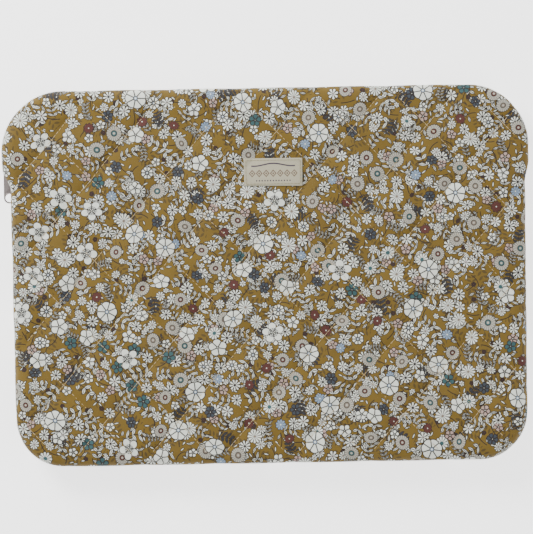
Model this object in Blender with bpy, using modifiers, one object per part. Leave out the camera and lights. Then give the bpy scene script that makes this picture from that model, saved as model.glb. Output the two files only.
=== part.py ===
"""A quilted, padded laptop sleeve with a zip round its top, lying closed on its back.

+X is to the right, +Y towards the zipped top edge and +Z up, out of the printed front.
The origin is the middle of the flat back face. Everything is in metres.

Each padded wall is a stack: printed fabric, quilting thread, batting and lining. The front
wall is cut along FOLD_Y, and the strip above it is the flap that opens once the zip is undone.
The zip chain lies in the groove between the puffy edges of the front and the back.
"""

import math

import bmesh
import bpy
from mathutils import Vector

# Overall size
HALF_WIDTH = 0.1765  # of the sewn part, at the height where the zip ends
HALF_HEIGHT = 0.1285
THICKNESS = 0.024
MID_Z = THICKNESS / 2
BOTTOM_TAPER = 0.0015  # how much nearer each side is at the bottom
LEFT_BULGE = 0.0055  # how far the zipped part stands out past the sewn part
RIGHT_BULGE = 0.0025
TOP_RADIUS = 0.042
BOTTOM_RADIUS = 0.033

# Heights on the sides
FOLD_Y = 0.084  # the flap's fold
CHAIN_END_Y = 0.0795  # the lower ends of the zip chain
TAPE_END_Y = 0.068
SEWN_Y = 0.062  # below this the front and back edges are sewn together
BULGE_START_Y, BULGE_FULL_Y = 0.061, 0.077

# Wall layers
FABRIC = 0.0005
BATTING = 0.0020
LINING = 0.0005
THREAD = 0.0003
GAP = 0.0003  # between pieces that touch
QUILT_SPACING = 0.038
QUILT_RISING_DEG, QUILT_FALLING_DEG = 50.0, -45.0
QUILT_MARGIN = 0.010  # the quilting stops this far inside the outline
SHORTEST_ROW = 1.6 * QUILT_SPACING  # a shorter row would cross no other
FALLING_THREAD = 0.9  # the falling threads' share of THREAD, so that no planes are shared

# Wall sections as (distance out from the outline, height above the back face), from the edge
# inwards. The first of each pair is the zipped part's and the second is the sewn part's.
FABRIC_SECTIONS = (
    [(-0.0079, 0.0166), (-0.0030, 0.0166), (-0.0009, 0.0176), (0.0, 0.0194),
     (-0.0010, 0.0216), (-0.0032, 0.0232), (-0.0070, 0.0240)],
    [(-0.0055, 0.0122), (-0.0030, 0.0144), (-0.0009, 0.0163), (0.0, 0.0185),
     (-0.0010, 0.0210), (-0.0034, 0.0231), (-0.0075, 0.0240)],
)
BATTING_SECTIONS = (
    [(-0.0020, 0.0192), (-0.0028, 0.0207), (-0.0048, 0.0217), (-0.0080, 0.0221)],
    [(-0.0020, 0.0170), (-0.0028, 0.0203), (-0.0050, 0.0217), (-0.0085, 0.0221)],
)
LINING_SECTIONS = (
    [(-0.0095, 0.0174), (-0.0101, 0.0188), (-0.0125, 0.0198)],
    [(-0.0095, 0.0123), (-0.0099, 0.0182), (-0.0125, 0.0198)],
)

# Zip, as distances out from the outline and half widths each way from the middle plane
TAPE_OUTER, TAPE_INNER = -0.0082, -0.0087
TAPE_LOW, TAPE_HIGH = 0.0006, 0.0064
COIL_OUTER, COIL_INNER = -0.0058, -0.0079
COIL_LOW, COIL_HIGH = 0.0006, 0.0025
CHAIN_START_ANGLE = 12.0  # degrees round the left corner to where the flap's half starts
BINDING_OUTER, BINDING_INNER, BINDING_HALF = -0.0108, -0.0115, 0.0024

STOP_DEPTH = 0.0014
TOP_STOP_ABOVE, TOP_STOP_BELOW = 0.0008, 0.0018  # from CHAIN_END_Y
BOTTOM_STOP_ABOVE, BOTTOM_STOP_BELOW = 0.0024, 0.0008
STOP_BEVEL = 0.0003

# Slider, at the start of the left corner's arc, its nose towards -Y
SLIDER_LENGTH = 0.0105
SLIDER_HALF_WIDTH = 0.0043
SLIDER_OUTER, SLIDER_INNER = -0.0047, -0.0105
CHANNEL_OUTER, CHANNEL_INNER = -0.0054, -0.0095
CHANNEL_HALF_WIDTH = 0.0030
SLOT_OUTER = -0.0074  # the slots for the tapes reach from here to the inner plate
POST_HALF_WIDTH = 0.0002
SLIDER_BEVEL = 0.0004
CROWN_RADIUS, CROWN_HALF_LENGTH, CROWN_BEND = 0.00065, 0.0039, 0.0009
SPRING_HALF_WIDTH = 0.0006
SPRING_LOW, SPRING_HIGH = 0.0002, 0.0028  # above the slider's middle
LINK_RADIUS = 0.0004
LINK_HALF_WIDTH, LINK_BEND = 0.0023, 0.0007
LINK_TOP_Y, LINK_BOTTOM_Y = 0.0846, 0.0789
TAB_EYE_Y = 0.0786
TAB_END_Y = 0.0526
TAB_HALF_WIDTH = 0.00385
TAB_EYE_RADIUS, TAB_EYE_HOLE = 0.0021, 0.0011
TAB_HOLE = 0.0028
TAB_THICKNESS = 0.0012
TAB_SHOULDER_Y = 0.0735

# Label
LABEL_WIDTH, LABEL_HEIGHT, LABEL_THICKNESS = 0.040, 0.019, 0.0006
LABEL_X, LABEL_Y = 0.0038, 0.0707
STITCH_INSET, STITCH_WIDTH, STITCH_HEIGHT = 0.0017, 0.0005, 0.0002

FAR = 0.25  # past every edge of the sleeve

PRINT_COLOUR = (0.42, 0.31, 0.14)
BATTING_COLOUR = (0.86, 0.85, 0.82)
LINING_COLOUR = (0.72, 0.66, 0.54)
THREAD_COLOUR = (0.68, 0.58, 0.40)
TAPE_COLOUR = (0.62, 0.57, 0.52)
COIL_COLOUR = (0.70, 0.67, 0.62)
METAL_COLOUR = (0.42, 0.39, 0.38)
LABEL_COLOUR = (0.60, 0.55, 0.44)


def clear_scene():
    for obj in list(bpy.data.objects):
        bpy.data.objects.remove(obj, do_unlink=True)


def new_collection(name):
    collection = bpy.data.collections.new(name)
    bpy.context.scene.collection.children.link(collection)
    return collection


def material(name, colour, roughness, metallic=0.0):
    mat = bpy.data.materials.new(name)
    mat.use_nodes = True
    shader = mat.node_tree.nodes["Principled BSDF"]
    shader.inputs["Base Color"].default_value = (*colour, 1.0)
    shader.inputs["Roughness"].default_value = roughness
    shader.inputs["Metallic"].default_value = metallic
    return mat


def smooth(value, low, high):
    """0 at low, 1 at high, with a level start and end."""
    t = min(1.0, max(0.0, (value - low) / (high - low)))
    return t * t * (3 - 2 * t)


def side_x(y, side):
    """Where the outline's left (side -1) or right (side 1) edge is at a height."""
    bulge = LEFT_BULGE if side < 0 else RIGHT_BULGE
    taper = BOTTOM_TAPER * min(1.0, max(0.0, (FOLD_Y - y) / (FOLD_Y + HALF_HEIGHT)))
    return side * (HALF_WIDTH - taper + bulge * smooth(y, BULGE_START_Y, BULGE_FULL_Y))


def corner_centre(side, top):
    if top:
        return Vector((side_x(HALF_HEIGHT, side) - side * TOP_RADIUS, HALF_HEIGHT - TOP_RADIUS))
    return Vector((side_x(-HALF_HEIGHT, side) - side * BOTTOM_RADIUS, BOTTOM_RADIUS - HALF_HEIGHT))


def arc(side, top, steps=8):
    """A corner's (point, outward direction) pairs, anticlockwise seen from the front."""
    centre = corner_centre(side, top)
    radius = TOP_RADIUS if top else BOTTOM_RADIUS
    start = {(1, False): 270, (1, True): 0, (-1, True): 90, (-1, False): 180}[(side, top)]
    pairs = []
    for i in range(steps + 1):
        angle = math.radians(start + 90 * i / steps)
        out = Vector((math.cos(angle), math.sin(angle)))
        pairs.append((centre + radius * out, out))
    return pairs


def outline():
    """The whole outline as (point, outward direction) pairs, anticlockwise."""
    heights = [-0.060, -0.010, 0.030, 0.050, 0.056, SEWN_Y, TAPE_END_Y, 0.074, CHAIN_END_Y]
    right = [(Vector((side_x(y, 1), y)), Vector((1, 0))) for y in heights]
    left = [(Vector((side_x(y, -1), y)), Vector((-1, 0))) for y in reversed(heights)]
    top = [(Vector((x, HALF_HEIGHT)), Vector((0, 1))) for x in (0.07, 0.0, -0.07)]
    bottom = [(Vector((x, -HALF_HEIGHT)), Vector((0, -1))) for x in (-0.07, 0.0, 0.07)]
    return (arc(1, False) + right + arc(1, True) + top + arc(-1, True) + left
            + arc(-1, False) + bottom)


def zip_share(point):
    """1 where the edge is zipped, 0 where it is sewn."""
    return smooth(point.y, SEWN_Y, CHAIN_END_Y)


def add_object(name, mesh, mat, collection):
    obj = bpy.data.objects.new(name, mesh)
    obj.data.materials.clear()
    if mat:
        obj.data.materials.append(mat)
    collection.objects.link(obj)
    return obj


def mesh_from(bm, name):
    bmesh.ops.recalc_face_normals(bm, faces=bm.faces)
    mesh = bpy.data.meshes.new(name)
    bm.to_mesh(mesh)
    bm.free()
    return mesh


def shade_round(mesh, degrees=40):
    mesh.shade_smooth()
    mesh.set_sharp_from_angle(angle=math.radians(degrees))


def wall(name, sections, thickness, front, mat, collection):
    """A wall layer: its section carried round the outline, closed by a flat middle, made solid."""
    zipped, sewn = sections
    bm = bmesh.new()
    rings = []
    for level in range(len(zipped)):
        ring = []
        for point, out in outline():
            share = zip_share(point)
            (zip_d, zip_z), (sewn_d, sewn_z) = zipped[level], sewn[level]
            distance = sewn_d + (zip_d - sewn_d) * share
            height = sewn_z + (zip_z - sewn_z) * share
            place = point + out * distance
            z = height if front else THICKNESS - height
            ring.append(bm.verts.new((place.x, place.y, z)))
        rings.append(ring)
    for low, high in zip(rings, rings[1:]):
        for i in range(len(low)):
            j = (i + 1) % len(low)
            corners = (low[i], low[j], high[j], high[i])
            bm.faces.new(corners if front else reversed(corners))
    bm.faces.new(rings[-1] if front else reversed(rings[-1]))
    mesh = bpy.data.meshes.new(name)
    bm.to_mesh(mesh)
    bm.free()
    shade_round(mesh)
    obj = add_object(name, mesh, mat, collection)
    solid = obj.modifiers.new("thickness", "SOLIDIFY")
    solid.thickness = thickness
    solid.offset = -1.0
    return obj


def box(name, low, high, mat, collection, bevel=0.0):
    """A box between two corners, with its edges rounded where a bevel is given."""
    low, high = Vector(low), Vector(high)
    bm = bmesh.new()
    bmesh.ops.create_cube(bm, size=1.0)
    for vert in bm.verts:
        vert.co = Vector(a + (b - a) * (c + 0.5) for a, b, c in zip(low, high, vert.co))
    obj = add_object(name, mesh_from(bm, name), mat, collection)
    if bevel:
        rounding = obj.modifiers.new("rounding", "BEVEL")
        rounding.width = bevel
        rounding.segments = 2
    return obj


def cutter(name, low, high, collection):
    obj = box(name, low, high, None, collection)
    obj.hide_render = True
    obj.display_type = "WIRE"
    return obj


def boolean(obj, other, operation="DIFFERENCE"):
    mod = obj.modifiers.new(operation.lower() + "_" + other.name, "BOOLEAN")
    mod.operation = operation
    mod.object = other


def band(name, section, path, mat, collection):
    """A closed section of (distance out, height) points carried along a stretch of the outline."""
    bm = bmesh.new()
    rings = []
    for point, out in path:
        places = [point + out * distance for distance, _ in section]
        rings.append([bm.verts.new((place.x, place.y, z)) for place, (_, z) in zip(places, section)])
    for one, other in zip(rings, rings[1:]):
        for i in range(len(section)):
            j = (i + 1) % len(section)
            bm.faces.new((one[i], other[i], other[j], one[j]))
    bm.faces.new(rings[0])
    bm.faces.new(reversed(rings[-1]))
    return add_object(name, mesh_from(bm, name), mat, collection)


def strip(outer, inner, low, high):
    return [(outer, low), (outer, high), (inner, high), (inner, low)]


def zip_path(start_y, left_end):
    """The zipped stretch, from a height on the right side, with its left end given."""
    start = [(Vector((side_x(start_y, 1), start_y)), Vector((1, 0)))]
    top = [(Vector((x, HALF_HEIGHT)), Vector((0, 1))) for x in (0.07, 0.0, -0.07)]
    return start + arc(1, True) + top + left_end


def left_to_height(y):
    """The left corner's arc and the straight side below it, down to a height."""
    heights = [h for h in (CHAIN_END_Y, 0.074) if h > y] + [y]
    return arc(-1, True) + [(Vector((side_x(h, -1), h)), Vector((-1, 0))) for h in heights]


def left_to_angle(degrees):
    """The left corner's arc, ending an angle before the side."""
    centre = corner_centre(-1, True)
    steps = 8
    pairs = []
    for i in range(steps + 1):
        angle = math.radians(90 + (90 - degrees) * i / steps)
        out = Vector((math.cos(angle), math.sin(angle)))
        pairs.append((centre + TOP_RADIUS * out, out))
    return pairs


def sewn_path(top_y):
    """The stretch below a height: down the left side, along the bottom and up the right side."""
    heights = (top_y, 0.050, 0.0, -0.060)
    left = [(Vector((side_x(y, -1), y)), Vector((-1, 0))) for y in heights]
    right = [(Vector((side_x(y, 1), y)), Vector((1, 0))) for y in reversed(heights)]
    return left + arc(-1, False) + arc(1, False) + right


def inside_quilting(x, y):
    """Whether a point is inside the outline by the quilting's margin."""
    side = 1 if x > 0 else -1
    if abs(y) > HALF_HEIGHT - QUILT_MARGIN or abs(x) > abs(side_x(y, side)) - QUILT_MARGIN:
        return False
    top = y > 0
    centre = corner_centre(side, top)
    radius = (TOP_RADIUS if top else BOTTOM_RADIUS) - QUILT_MARGIN
    offset = Vector((x, y)) - centre
    beyond = offset.x * side > 0 and offset.y * (1 if top else -1) > 0
    return not beyond or offset.length < radius


def quilting_rows(degrees, low_y, high_y):
    """The (start, end) of each long enough straight row of quilting between two heights."""
    along = Vector((math.cos(math.radians(degrees)), math.sin(math.radians(degrees))))
    across = Vector((-along.y, along.x))
    step = 0.001
    rows = []
    for k in range(-6, 7):
        base = across * (k * QUILT_SPACING)
        places = [base + along * (step * i) for i in range(int(-FAR / step), int(FAR / step))]
        kept = [p for p in places if inside_quilting(p.x, p.y) and low_y < p.y < high_y]
        if kept and (kept[-1] - kept[0]).length > SHORTEST_ROW:
            rows.append((kept[0], kept[-1]))
    return rows


def thread_bars(name, degrees, z, size, low_y, high_y, mat, collection):
    """One direction's quilting threads, as thin straight bars centred on a height."""
    bm = bmesh.new()
    for start, end in quilting_rows(degrees, low_y, high_y):
        middle = (start + end) / 2
        along = (end - start).normalized()
        across = Vector((-along.y, along.x))
        cube = bmesh.ops.create_cube(bm, size=1.0)
        for vert in cube["verts"]:
            place = middle + along * (vert.co.x * (end - start).length)
            place += across * (vert.co.y * size)
            vert.co = (place.x, place.y, z + vert.co.z * size)
    return add_object(name, mesh_from(bm, name), mat, collection)


def quilting(name, z, low_y, high_y, mat, collection, cutters):
    """Both directions' threads, joined where they cross."""
    obj = thread_bars(name, QUILT_RISING_DEG, z, THREAD, low_y, high_y, mat, collection)
    falling = thread_bars(name + "_falling", QUILT_FALLING_DEG, z, FALLING_THREAD * THREAD,
                          low_y, high_y, None, cutters)
    falling.hide_render = True
    falling.display_type = "WIRE"
    boolean(obj, falling, "UNION")


def wire(name, points, radius, mat, collection, cyclic=False):
    """A round wire along straight runs between points, as a capped curve."""
    curve = bpy.data.curves.new(name, "CURVE")
    curve.dimensions = "3D"
    curve.bevel_depth = radius
    curve.bevel_resolution = 2
    curve.use_fill_caps = not cyclic
    spline = curve.splines.new("POLY")
    spline.points.add(len(points) - 1)
    for spline_point, place in zip(spline.points, points):
        spline_point.co = (*place, 1.0)
    spline.use_cyclic_u = cyclic
    obj = bpy.data.objects.new(name, curve)
    curve.materials.append(mat)
    collection.objects.link(obj)
    return obj


def rounded(corners, radius, steps=3, closed=False):
    """Points along a chain of straight runs whose inner corners are quarter-round."""
    count = len(corners)
    points = []
    for i, corner in enumerate(corners):
        corner = Vector(corner)
        if not closed and i in (0, count - 1):
            points.append(corner)
            continue
        before = (Vector(corners[i - 1]) - corner).normalized() * radius
        after = (Vector(corners[(i + 1) % count]) - corner).normalized() * radius
        for k in range(steps + 1):
            t = k / steps
            points.append(corner + before * (1 - t) ** 2 + after * t ** 2)
    return points


def disc_outline(centre, radius, start_deg, end_deg, steps):
    points = []
    for i in range(steps + 1):
        angle = math.radians(start_deg + (end_deg - start_deg) * i / steps)
        points.append(centre + radius * Vector((math.cos(angle), math.sin(angle))))
    return points


def plate(name, loops, thickness, z, mat, collection):
    """A flat plate with holes: a filled 2D curve, extruded by half the thickness each way."""
    curve = bpy.data.curves.new(name, "CURVE")
    curve.dimensions = "2D"
    curve.fill_mode = "BOTH"
    curve.extrude = thickness / 2
    for loop in loops:
        spline = curve.splines.new("POLY")
        spline.points.add(len(loop) - 1)
        for spline_point, place in zip(spline.points, loop):
            spline_point.co = (place.x, place.y, 0.0, 1.0)
        spline.use_cyclic_u = True
    obj = bpy.data.objects.new(name, curve)
    curve.materials.append(mat)
    obj.location = (0.0, 0.0, z)
    collection.objects.link(obj)
    return obj


def build_walls(collection, cutters):
    print_mat = material("printed_cotton", PRINT_COLOUR, 0.85)
    batting_mat = material("batting", BATTING_COLOUR, 0.95)
    lining_mat = material("lining", LINING_COLOUR, 0.9)
    above = cutter("above_fold", (-FAR, FOLD_Y - GAP / 2, -FAR), (FAR, FAR, FAR), cutters)
    below = cutter("below_fold", (-FAR, -FAR, -FAR), (FAR, FOLD_Y + GAP / 2, FAR), cutters)
    layers = (("outer_fabric", FABRIC_SECTIONS, FABRIC, print_mat),
              ("batting", BATTING_SECTIONS, BATTING, batting_mat),
              ("lining", LINING_SECTIONS, LINING, lining_mat))
    for layer, sections, thickness, mat in layers:
        wall("back_" + layer, sections, thickness, False, mat, collection)
        boolean(wall("front_" + layer, sections, thickness, True, mat, collection), above)
        boolean(wall("flap_" + layer, sections, thickness, True, mat, collection), below)


def build_quilting(collection, cutters):
    """The threads of the back, and of the front below the fold: the flap's rows are too short."""
    mat = material("quilting_thread", THREAD_COLOUR, 0.7)
    z = (BATTING_SECTIONS[0][-1][1] + FABRIC_SECTIONS[0][-1][1] - FABRIC) / 2
    quilting("front_quilting", z, -HALF_HEIGHT, FOLD_Y - 0.001, mat, collection, cutters)
    quilting("back_quilting", THICKNESS - z, -HALF_HEIGHT, HALF_HEIGHT, mat, collection, cutters)


def build_zip(collection):
    tape_mat = material("zip_tape", TAPE_COLOUR, 0.85)
    coil_mat = material("zip_coil", COIL_COLOUR, 0.5)
    metal = material("zip_stop", METAL_COLOUR, 0.4, 1.0)
    flap_path = zip_path(FOLD_Y + GAP, left_to_angle(CHAIN_START_ANGLE))
    coil_path = zip_path(CHAIN_END_Y + 0.003, left_to_height(CHAIN_END_Y + 0.002))
    tape_path = zip_path(TAPE_END_Y, left_to_height(TAPE_END_Y))
    for name, sign, tape_route, coil_route in (("front", 1, flap_path, flap_path),
                                               ("back", -1, tape_path, coil_path)):
        tape = strip(TAPE_OUTER, TAPE_INNER, *(MID_Z + sign * h for h in (TAPE_LOW, TAPE_HIGH)))
        band("zip_tape_" + name, tape, tape_route, tape_mat, collection)
        coil = strip(COIL_OUTER, COIL_INNER, *(MID_Z + sign * h for h in (COIL_LOW, COIL_HIGH)))
        band("zip_coil_" + name, coil, coil_route, coil_mat, collection)
    depths = (COIL_INNER, COIL_INNER + STOP_DEPTH)
    left = [side_x(CHAIN_END_Y, -1) - d for d in depths]
    for name, low, high in (("zip_top_stop_front", TAPE_LOW, COIL_HIGH + GAP),
                            ("zip_top_stop_back", -COIL_HIGH - GAP, -TAPE_LOW)):
        box(name, (left[1], CHAIN_END_Y - TOP_STOP_BELOW, MID_Z + low),
            (left[0], CHAIN_END_Y + TOP_STOP_ABOVE, MID_Z + high), metal, collection, bevel=STOP_BEVEL)
    right = [side_x(CHAIN_END_Y, 1) + d for d in depths]
    box("zip_bottom_stop", (right[0], CHAIN_END_Y - BOTTOM_STOP_BELOW, MID_Z - COIL_HIGH),
        (right[1], CHAIN_END_Y + BOTTOM_STOP_ABOVE, MID_Z + COIL_HIGH), metal, collection,
        bevel=STOP_BEVEL)


def build_slider(collection, cutters):
    """The slider on the left end of the chain, with its crown, lock spring, link and pull tab."""
    metal = material("slider_metal", METAL_COLOUR, 0.4, 1.0)
    centre = corner_centre(-1, True)
    edge_x = centre.x - TOP_RADIUS
    middle_y = centre.y
    low_y, high_y = middle_y - SLIDER_LENGTH / 2, middle_y + SLIDER_LENGTH / 2
    past = 0.001

    def depth(distance):
        return edge_x - distance

    body = box("slider_body", (depth(SLIDER_OUTER), low_y, MID_Z - SLIDER_HALF_WIDTH),
               (depth(SLIDER_INNER), high_y, MID_Z + SLIDER_HALF_WIDTH), metal, collection,
               bevel=SLIDER_BEVEL)
    for side in (-1, 1):
        heights = sorted((MID_Z + side * POST_HALF_WIDTH, MID_Z + side * CHANNEL_HALF_WIDTH))
        name = "channel_upper" if side > 0 else "channel_lower"
        boolean(body, cutter(name, (depth(CHANNEL_OUTER), low_y - past, heights[0]),
                             (depth(CHANNEL_INNER), high_y + past, heights[1]), cutters))
        heights = sorted((MID_Z + side * POST_HALF_WIDTH, MID_Z + side * (SLIDER_HALF_WIDTH + past)))
        name = "slot_upper" if side > 0 else "slot_lower"
        boolean(body, cutter(name, (depth(SLOT_OUTER), low_y - past, heights[0]),
                             (depth(CHANNEL_INNER), high_y + past, heights[1]), cutters))

    plate_x = depth(SLIDER_OUTER)
    foot_x = plate_x - GAP
    link_x = plate_x - 2 * LINK_RADIUS
    crown_x = link_x - 2 * LINK_RADIUS - CROWN_RADIUS
    crown_low, crown_high = middle_y - CROWN_HALF_LENGTH, middle_y + CROWN_HALF_LENGTH
    crown = [(foot_x, crown_low, MID_Z), (crown_x, crown_low, MID_Z),
             (crown_x, crown_high, MID_Z), (foot_x, crown_high, MID_Z)]
    wire("slider_crown", rounded(crown, CROWN_BEND), CROWN_RADIUS, metal, collection)
    box("slider_lock_spring", (foot_x - GAP, middle_y + SPRING_LOW, MID_Z - SPRING_HALF_WIDTH),
        (foot_x, middle_y + SPRING_HIGH, MID_Z + SPRING_HALF_WIDTH), metal, collection)
    link = [(link_x, LINK_TOP_Y, MID_Z - LINK_HALF_WIDTH),
            (link_x, LINK_TOP_Y, MID_Z + LINK_HALF_WIDTH),
            (link_x, LINK_BOTTOM_Y, MID_Z + LINK_HALF_WIDTH),
            (link_x, LINK_BOTTOM_Y, MID_Z - LINK_HALF_WIDTH)]
    wire("connector_link", rounded(link, LINK_BEND, closed=True), LINK_RADIUS, metal, collection,
         cyclic=True)

    eye = Vector((link_x, TAB_EYE_Y))
    hole = Vector((link_x, TAB_END_Y + TAB_HALF_WIDTH))
    outer = disc_outline(eye, TAB_EYE_RADIUS, 0, 180, 10)
    outer += [Vector((link_x - TAB_HALF_WIDTH, TAB_SHOULDER_Y))]
    outer += disc_outline(hole, TAB_HALF_WIDTH, 180, 360, 16)
    outer += [Vector((link_x + TAB_HALF_WIDTH, TAB_SHOULDER_Y))]
    loops = [outer, disc_outline(eye, TAB_EYE_HOLE, 360, 30, 11),
             disc_outline(hole, TAB_HOLE, 360, 20, 17)]
    plate("pull_tab", loops, TAB_THICKNESS, MID_Z, metal, collection)


def build_binding(collection):
    mat = material("seam_binding", LINING_COLOUR, 0.9)
    section = strip(BINDING_OUTER, BINDING_INNER, MID_Z - BINDING_HALF, MID_Z + BINDING_HALF)
    band("seam_binding", section, sewn_path(SEWN_Y - 0.002), mat, collection)


def build_label(collection, cutters):
    label_mat = material("label_linen", LABEL_COLOUR, 0.9)
    stitch_mat = material("label_thread", THREAD_COLOUR, 0.7)
    low_z = THICKNESS + GAP
    high_z = low_z + LABEL_THICKNESS
    half = Vector((LABEL_WIDTH / 2, LABEL_HEIGHT / 2))

    def corners(inset, low, high):
        """A box over the label, in from its edges."""
        return ((LABEL_X - half.x + inset, LABEL_Y - half.y + inset, low),
                (LABEL_X + half.x - inset, LABEL_Y + half.y - inset, high))

    box("label", *corners(0.0, low_z, high_z), label_mat, collection)
    low_z = high_z + GAP
    stitch = box("label_stitching", *corners(STITCH_INSET, low_z, low_z + STITCH_HEIGHT),
                 stitch_mat, collection)
    inside = corners(STITCH_INSET + STITCH_WIDTH, low_z - GAP, low_z + 2 * GAP)
    boolean(stitch, cutter("stitch_inside", *inside, cutters))


def main():
    clear_scene()
    sleeve = new_collection("laptop_sleeve")
    cutters = new_collection("cutters")
    build_walls(sleeve, cutters)
    build_quilting(sleeve, cutters)
    build_zip(sleeve)
    build_slider(sleeve, cutters)
    build_binding(sleeve)
    build_label(sleeve, cutters)


main()
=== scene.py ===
"""The laptop sleeve's looks: printed and quilted cotton, zip, pull tab and sewn label."""

import math

import bmesh
import bpy
import numpy as np
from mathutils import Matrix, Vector


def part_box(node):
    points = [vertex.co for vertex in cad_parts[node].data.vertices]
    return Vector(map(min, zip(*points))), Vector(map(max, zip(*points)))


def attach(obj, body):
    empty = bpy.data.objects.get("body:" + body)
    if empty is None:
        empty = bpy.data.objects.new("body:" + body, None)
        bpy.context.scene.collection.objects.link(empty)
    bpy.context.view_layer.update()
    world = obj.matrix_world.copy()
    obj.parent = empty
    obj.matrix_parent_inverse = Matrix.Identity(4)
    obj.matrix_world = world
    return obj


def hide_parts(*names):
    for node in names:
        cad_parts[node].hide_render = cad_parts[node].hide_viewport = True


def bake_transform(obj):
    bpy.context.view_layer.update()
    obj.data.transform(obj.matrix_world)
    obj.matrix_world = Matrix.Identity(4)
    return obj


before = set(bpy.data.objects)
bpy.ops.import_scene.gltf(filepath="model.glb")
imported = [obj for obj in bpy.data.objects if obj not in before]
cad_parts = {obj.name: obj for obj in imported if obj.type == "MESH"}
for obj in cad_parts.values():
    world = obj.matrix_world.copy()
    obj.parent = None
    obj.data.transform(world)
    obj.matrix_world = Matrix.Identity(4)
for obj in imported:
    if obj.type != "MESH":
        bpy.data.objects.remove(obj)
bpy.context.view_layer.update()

# The sleeve's outline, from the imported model
BACK_LOW, BACK_HIGH = (Vector(corner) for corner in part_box("back_outer_fabric"))
LEFT_X, RIGHT_X = BACK_LOW.x, BACK_HIGH.x
HALF_HEIGHT = BACK_HIGH.y
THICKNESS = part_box("flap_outer_fabric")[1][2]
MID_Z = THICKNESS / 2
FOLD_Y = round(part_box("flap_outer_fabric")[0][1], 3)
SEWN_HALF_WIDTH = 0.1765
BOTTOM_TAPER = 0.0015
TOP_RADIUS, BOTTOM_RADIUS = 0.042, 0.033
BULGE_START_Y, BULGE_FULL_Y = 0.061, 0.077
SEWN_Y, CHAIN_END_Y = 0.062, 0.0795
ARC_POINTS, SIDE_POINTS = 60, 160  # on each corner and each side of the outline
DIRECTION_STEP = 0.0015  # either way, to find the outline's direction at a place

# Quilting: each family of rows by the direction across it, where it starts and its spacing
QUILT_ROWS = ((math.radians(44), -0.0022, 0.0377), (math.radians(-41), 0.0168, 0.0382))
QUILT_COUNT, QUILT_REACH = 7, 0.24  # rows each way from the middle, and how far along each
PUFF = 0.0028
VALLEY_REACH, PUCKER_REACH = 0.0072, 0.0050  # from a row of stitches
WAVER, WAVER_ALONG, WAVER_ACROSS = 0.0006, 0.03, 0.09  # of a row, and over what lengths
STITCH_PITCH, STITCH_LENGTH, STITCH_RADIUS, STITCH_LIFT = 0.0031, 0.0026, 0.00021, 0.0003
STITCH_MARGIN = 0.0075  # from the outline to the nearest stitch
PADDING_THICKNESS, LINING_THICKNESS, LABEL_THICKNESS = 0.0019, 0.0005, 0.0006

# Wall sections, from the edge inwards, as (distance out from the outline, height)
COVER_ZIPPED = [(-0.0079, 0.0166), (-0.0030, 0.0166), (-0.0009, 0.0176), (0.0, 0.0194),
                (-0.0010, 0.0214), (-0.0034, 0.0228), (-0.0080, 0.0236)]
COVER_SEWN = [(-0.0055, 0.0122), (-0.0030, 0.0142), (-0.0009, 0.0161), (0.0, 0.0183),
              (-0.0010, 0.0207), (-0.0034, 0.0226), (-0.0080, 0.0236)]
PADDING_ZIPPED = [(-0.0024, 0.0190), (-0.0032, 0.0203), (-0.0050, 0.0213), (-0.0080, 0.0217)]
PADDING_SEWN = [(-0.0024, 0.0170), (-0.0032, 0.0199), (-0.0050, 0.0213), (-0.0080, 0.0217)]
LINING_ZIPPED = [(-0.0095, 0.0174), (-0.0101, 0.0188), (-0.0125, 0.0198)]
LINING_SEWN = [(-0.0095, 0.0123), (-0.0099, 0.0182), (-0.0125, 0.0198)]
FINE_COVER, COARSE_COVER = (0.0013, 18), (0.003, 10)  # the mesh's spacing and its edge's levels
PATCH_SIZE = (0.36, 0.26)
BACK_CLOTH = (0.031, 0.017)  # where the back's piece was cut from the cloth
UV_PER_METRE = 10.0
LINE, BLUR = 0.60, 0.14  # the printed lines' width and softness, in millimetres

# Zip: the coil's distance in from the outline, its helix, and the tape's section
COIL_INSET, COIL_PITCH, COIL_STEPS, COIL_WIRE = 0.0068, 0.0016, 9, 0.00033
COIL_HALF_DEPTH, COIL_HALF_HEIGHT, COIL_OFF_MIDDLE = 0.00085, 0.00098, 0.00153
TAPE_OUTER, TAPE_INNER, TAPE_LOW, TAPE_HIGH, TAPE_STEP = -0.0082, -0.0086, 0.0004, 0.0064, 0.002

LABEL_LOW, LABEL_HIGH = (Vector(corner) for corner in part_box("label"))
LABEL_MIDDLE, LABEL_HALF = (LABEL_LOW + LABEL_HIGH) / 2, (LABEL_HIGH - LABEL_LOW) / 2
LABEL_CALM, UNDER_LABEL = 0.35, 0.4  # how much of the puffs is left there, and shows no stitch
TAB_LOW, TAB_HIGH = (Vector(corner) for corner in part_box("pull_tab"))
TAB_X, TAB_HALF = (TAB_LOW.x + TAB_HIGH.x) / 2, (TAB_HIGH.x - TAB_LOW.x) / 2
TAB_END_Y = TAB_LOW.y + TAB_HALF
TAB_EYE_RADIUS, TAB_SHOULDER_Y = 0.0021, 0.0735
TAB_EYE_Y = TAB_HIGH.y - TAB_EYE_RADIUS
TAB_HOLE, TAB_EYE_HOLE = 0.0028, 0.0011

# Camera: straight above, with the width that it sees at the height of the sleeve's edge
CAMERA_PLACE, CAMERA_TURN = (-0.0019, 0.0058, 1.6), -1.0
VIEW_WIDTH, EDGE_HEIGHT = 0.3665, 0.0185


def smooth(value, low, high):
    t = np.clip((np.asarray(value, float) - low) / (high - low), 0, 1)
    return t * t * (3 - 2 * t)


# ---------------------------------------------------------------- outline


def side_x(y, side):
    """Where the outline's left (side -1) or right (side 1) edge is at a height."""
    reach = -LEFT_X if side < 0 else RIGHT_X
    taper = BOTTOM_TAPER * np.clip((FOLD_Y - y) / (FOLD_Y + HALF_HEIGHT), 0, 1)
    bulge = (reach - SEWN_HALF_WIDTH) * smooth(y, BULGE_START_Y, BULGE_FULL_Y)
    return side * (SEWN_HALF_WIDTH - taper + bulge)


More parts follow.
